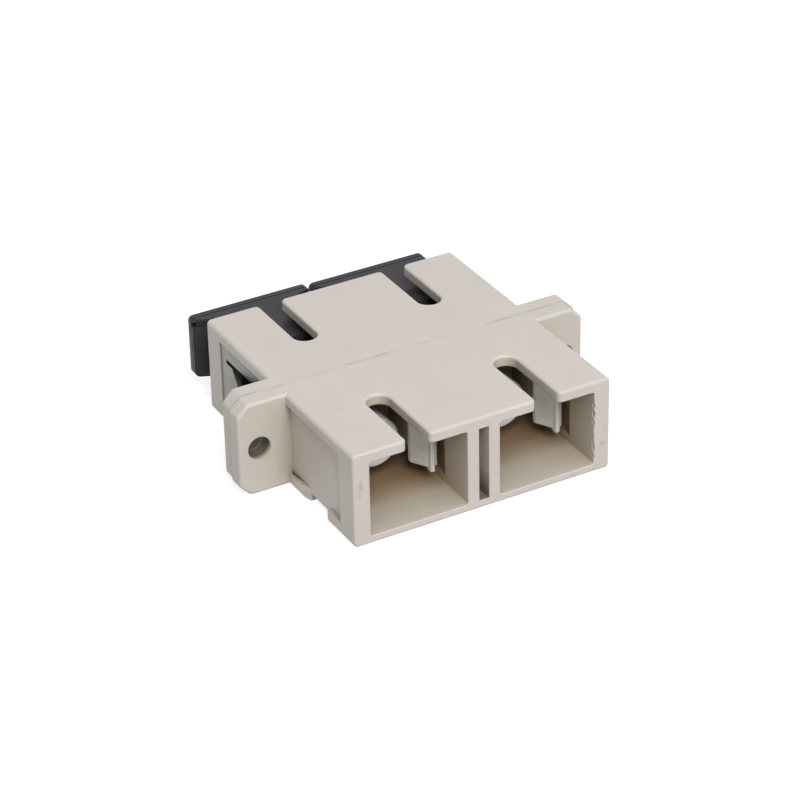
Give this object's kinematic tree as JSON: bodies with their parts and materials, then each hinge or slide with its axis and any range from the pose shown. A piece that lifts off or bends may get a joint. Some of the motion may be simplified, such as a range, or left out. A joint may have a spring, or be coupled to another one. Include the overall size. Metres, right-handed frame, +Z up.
{
  "type": "fibre optic adapter",
  "caption": "Duplex flanged fibre optic adapter with square push-pull ports, split sleeves, latch hooks, a spring clip for panel mounting and black rear dust caps.",
  "frame": {"origin": "midway between the two flange holes, on the seam between the half shells", "axes": "+X across the two ports, +Y from the open front ports towards the capped rear ports, +Z up"},
  "size_m": [0.035, 0.0318, 0.0092],
  "materials": {
    "housing_plastic": "moulded beige thermoplastic, satin",
    "latch_plastic": "pale green-grey slightly translucent thermoplastic",
    "spring_steel": "cold rolled stainless spring strip",
    "cap_plastic": "moulded black polyethylene, satin",
    "sleeve_bronze": "phosphor bronze"
  },
  "bodies": {
    "housing": {"front_housing": "housing_plastic", "rear_housing": "housing_plastic", "mounting_clip": "spring_steel", "latch_insert_front_left": "latch_plastic", "latch_insert_rear_left": "latch_plastic", "split_sleeve_left": "sleeve_bronze", "latch_insert_front_right": "latch_plastic", "latch_insert_rear_right": "latch_plastic", "split_sleeve_right": "sleeve_bronze"},
    "cap_left": {"dust_cap_left": "cap_plastic"},
    "cap_right": {"dust_cap_right": "cap_plastic"}
  },
  "joints": [
    {"name": "cap_left_slide", "type": "slide", "parent": "housing", "child": "cap_left", "axis": [0, 1, 0], "range_m": [0, 0.012]},
    {"name": "cap_right_slide", "type": "slide", "parent": "housing", "child": "cap_right", "axis": [0, 1, 0], "range_m": [0, 0.012]}
  ]
}
